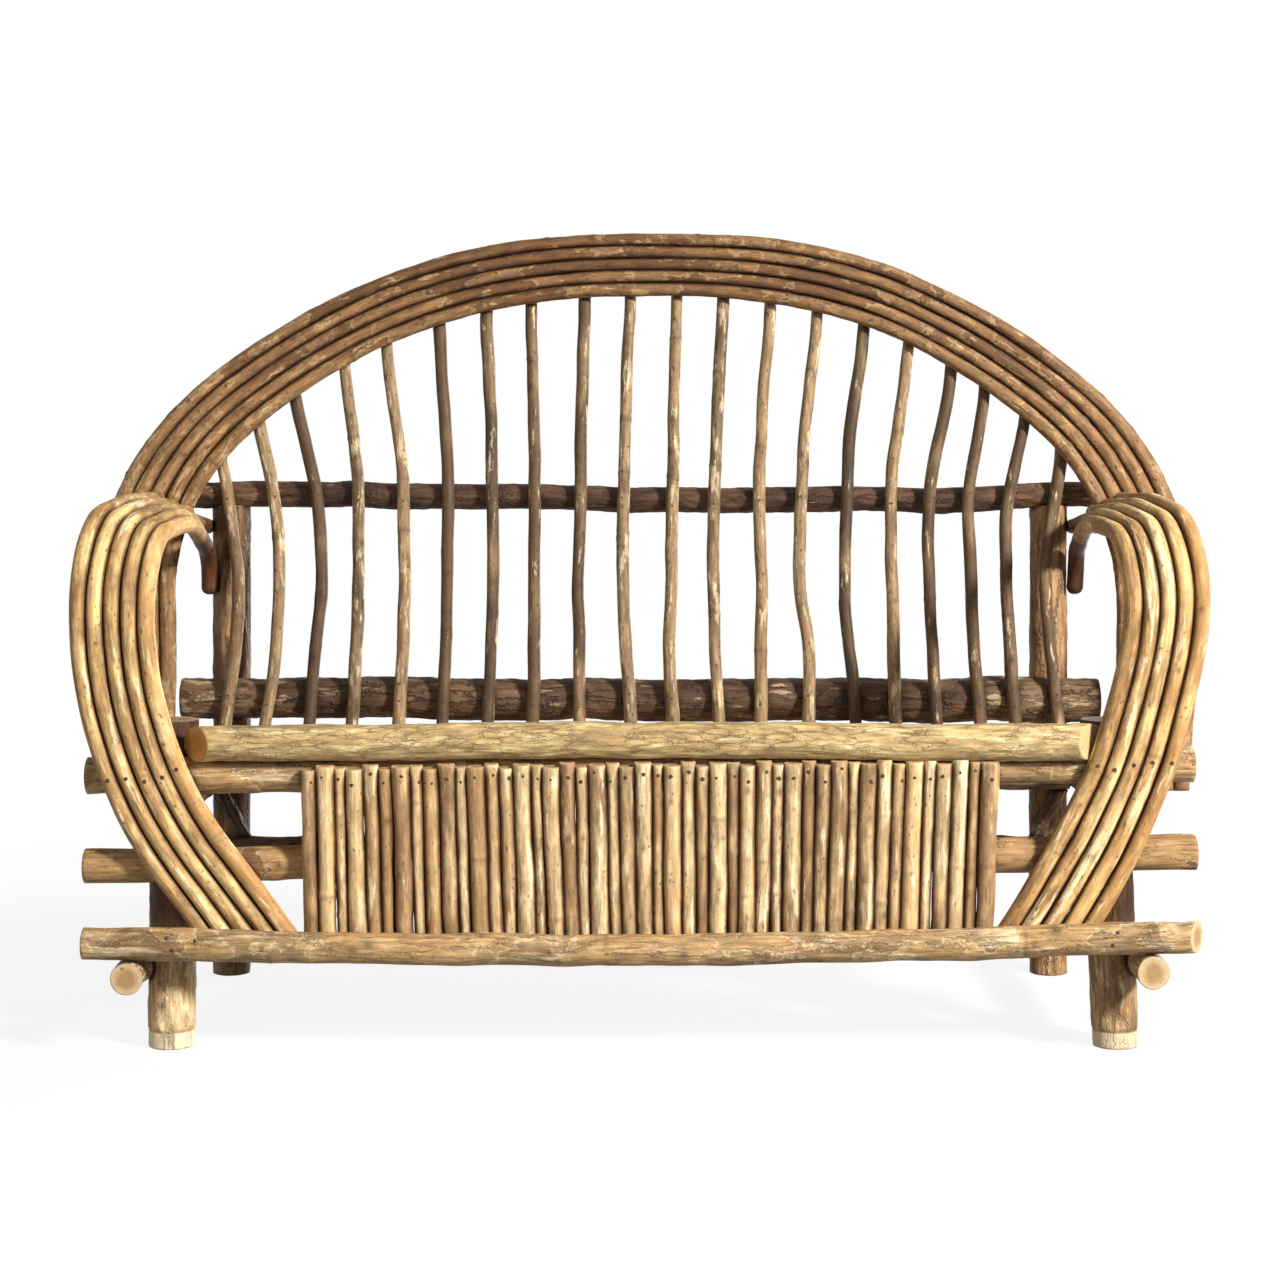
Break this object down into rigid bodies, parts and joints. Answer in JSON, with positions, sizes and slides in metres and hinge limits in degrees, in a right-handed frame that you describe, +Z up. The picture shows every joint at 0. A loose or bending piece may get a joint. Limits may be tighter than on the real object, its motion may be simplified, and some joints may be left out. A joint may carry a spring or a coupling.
{
  "type": "twig sofa",
  "caption": "Rustic porch sofa of nailed round poles and bent rods, with an arched splat back, hooped arms and an upright stick skirt.",
  "frame": {"origin": "on the floor, under the middle of the sofa's bounding box", "axes": "+X along the sofa to the sitter's left as seen from the front (right in the picture), +Y from front to back, +Z up"},
  "size_m": [1.6334, 0.6276, 1.1444],
  "materials": {
    "front_frame": "unpeeled pole, satin",
    "arm_rods": "golden bent rod, satin",
    "arch_rods": "brown bent rod, satin",
    "splats": "mottled grey-brown bark",
    "seat_log": "flaky pale bark",
    "skirt": "golden twig, satin",
    "deck": "unpeeled stick, satin",
    "back_frame": "dark rough bark"
  },
  "bodies": {
    "root": {"arch_rod_1": "arch_rods", "arch_rod_2": "arch_rods", "arch_rod_3": "arch_rods", "arch_rod_4": "arch_rods", "arch_rod_5": "arch_rods", "arm_rod_left_1": "arm_rods", "arm_rod_left_2": "arm_rods", "arm_rod_left_3": "arm_rods", "arm_rod_left_4": "arm_rods", "arm_rod_left_5": "arm_rods", "arm_rod_right_1": "arm_rods", "arm_rod_right_2": "arm_rods", "arm_rod_right_3": "arm_rods", "arm_rod_right_4": "arm_rods", "arm_rod_right_5": "arm_rods", "back_brace_left": "back_frame", "back_brace_right": "back_frame", "back_deck_rail": "back_frame", "back_lower_rail": "back_frame", "back_post_left": "back_frame", "back_post_right": "back_frame", "back_seat_log": "back_frame", "back_splat_01": "splats", "back_splat_02": "splats", "back_splat_03": "splats", "back_splat_04": "splats", "back_splat_05": "splats", "back_splat_06": "splats", "back_splat_07": "splats", "back_splat_08": "splats", "back_splat_09": "splats", "back_splat_10": "splats", "back_splat_11": "splats", "back_splat_12": "splats", "back_splat_13": "splats", "back_splat_14": "splats", "back_splat_15": "splats", "back_splat_16": "splats", "back_splat_17": "splats", "back_splat_18": "splats", "back_splat_19": "splats", "back_splat_20": "splats", "back_upper_rail": "back_frame", "deck_sticks": "deck", "front_bottom_rail": "front_frame", "front_middle_rail": "front_frame", "front_post_left": "front_frame", "front_post_right": "front_frame", "front_top_rail": "front_frame", "lower_side_rail_left": "front_frame", "lower_side_rail_right": "front_frame", "middle_side_rail_left": "front_frame", "middle_side_rail_right": "front_frame", "seat_front_log": "seat_log", "seat_side_rail_left": "front_frame", "seat_side_rail_right": "front_frame", "skirt_sticks": "skirt"}
  },
  "joints": []
}
